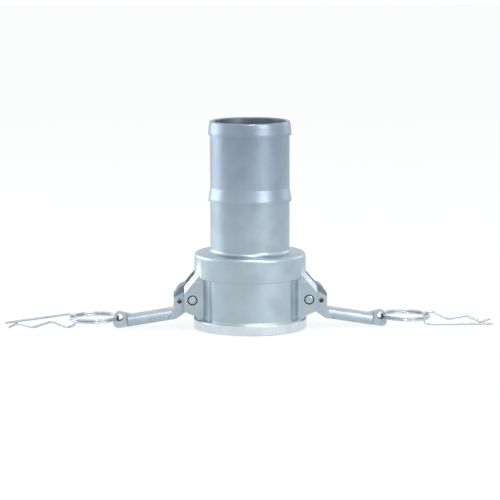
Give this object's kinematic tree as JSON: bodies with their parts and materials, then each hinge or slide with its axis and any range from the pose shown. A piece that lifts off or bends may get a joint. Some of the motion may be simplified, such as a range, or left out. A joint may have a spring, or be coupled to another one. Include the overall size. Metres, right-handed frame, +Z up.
{
  "type": "cam and groove hose coupling",
  "caption": "Female cam and groove coupling with a barbed hose tail, swinging cam arms, finger rings and hanging safety clips.",
  "frame": {"origin": "centre of the mouth's face, on the axis of the socket and the hose tail", "axes": "+Z up the hose tail, X along the open cam arms, Y along the pivot pins"},
  "size_m": [0.473, 0.1096, 0.2003],
  "materials": {
    "casting": "satin cast",
    "arm": "polished cast",
    "pin": "satin",
    "wire": "bright wire",
    "seal": "matt"
  },
  "bodies": {
    "coupler": {"coupler_body": "casting", "gasket": "seal", "pivot_pin_left": "pin", "pivot_pin_right": "pin"},
    "arm_right": {"cam_arm_right": "arm"},
    "arm_left": {"cam_arm_left": "arm"},
    "ring_right": {"finger_ring_right": "wire"},
    "ring_left": {"finger_ring_left": "wire"},
    "clip_right": {"safety_clip_right": "wire"},
    "clip_left": {"safety_clip_left": "wire"}
  },
  "joints": [
    {"name": "arm_right_pivot", "type": "hinge", "parent": "coupler", "child": "arm_right", "pos_m": [0.05605, 0, 0.0297], "axis": [0, -1, 0], "range_deg": [0, 94]},
    {"name": "ring_right_swing", "type": "hinge", "parent": "arm_right", "child": "ring_right", "pos_m": [0.12755, 0, 0.01037], "axis": [0, 1, 0], "range_deg": [-120, 155]},
    {"name": "clip_right_swing", "type": "hinge", "parent": "ring_right", "child": "clip_right", "pos_m": [0.17354, 0, 0.00955], "axis": [0, -1, 0], "range_deg": [-150, 150]},
    {"name": "arm_left_pivot", "type": "hinge", "parent": "coupler", "child": "arm_left", "pos_m": [-0.05605, 0, 0.0297], "axis": [0, 1, 0], "range_deg": [0, 94]},
    {"name": "ring_left_swing", "type": "hinge", "parent": "arm_left", "child": "ring_left", "pos_m": [-0.12755, 0, 0.01037], "axis": [0, -1, 0], "range_deg": [-120, 155]},
    {"name": "clip_left_swing", "type": "hinge", "parent": "ring_left", "child": "clip_left", "pos_m": [-0.17355, 0, 0.00976], "axis": [0, 1, 0], "range_deg": [-150, 150]}
  ]
}
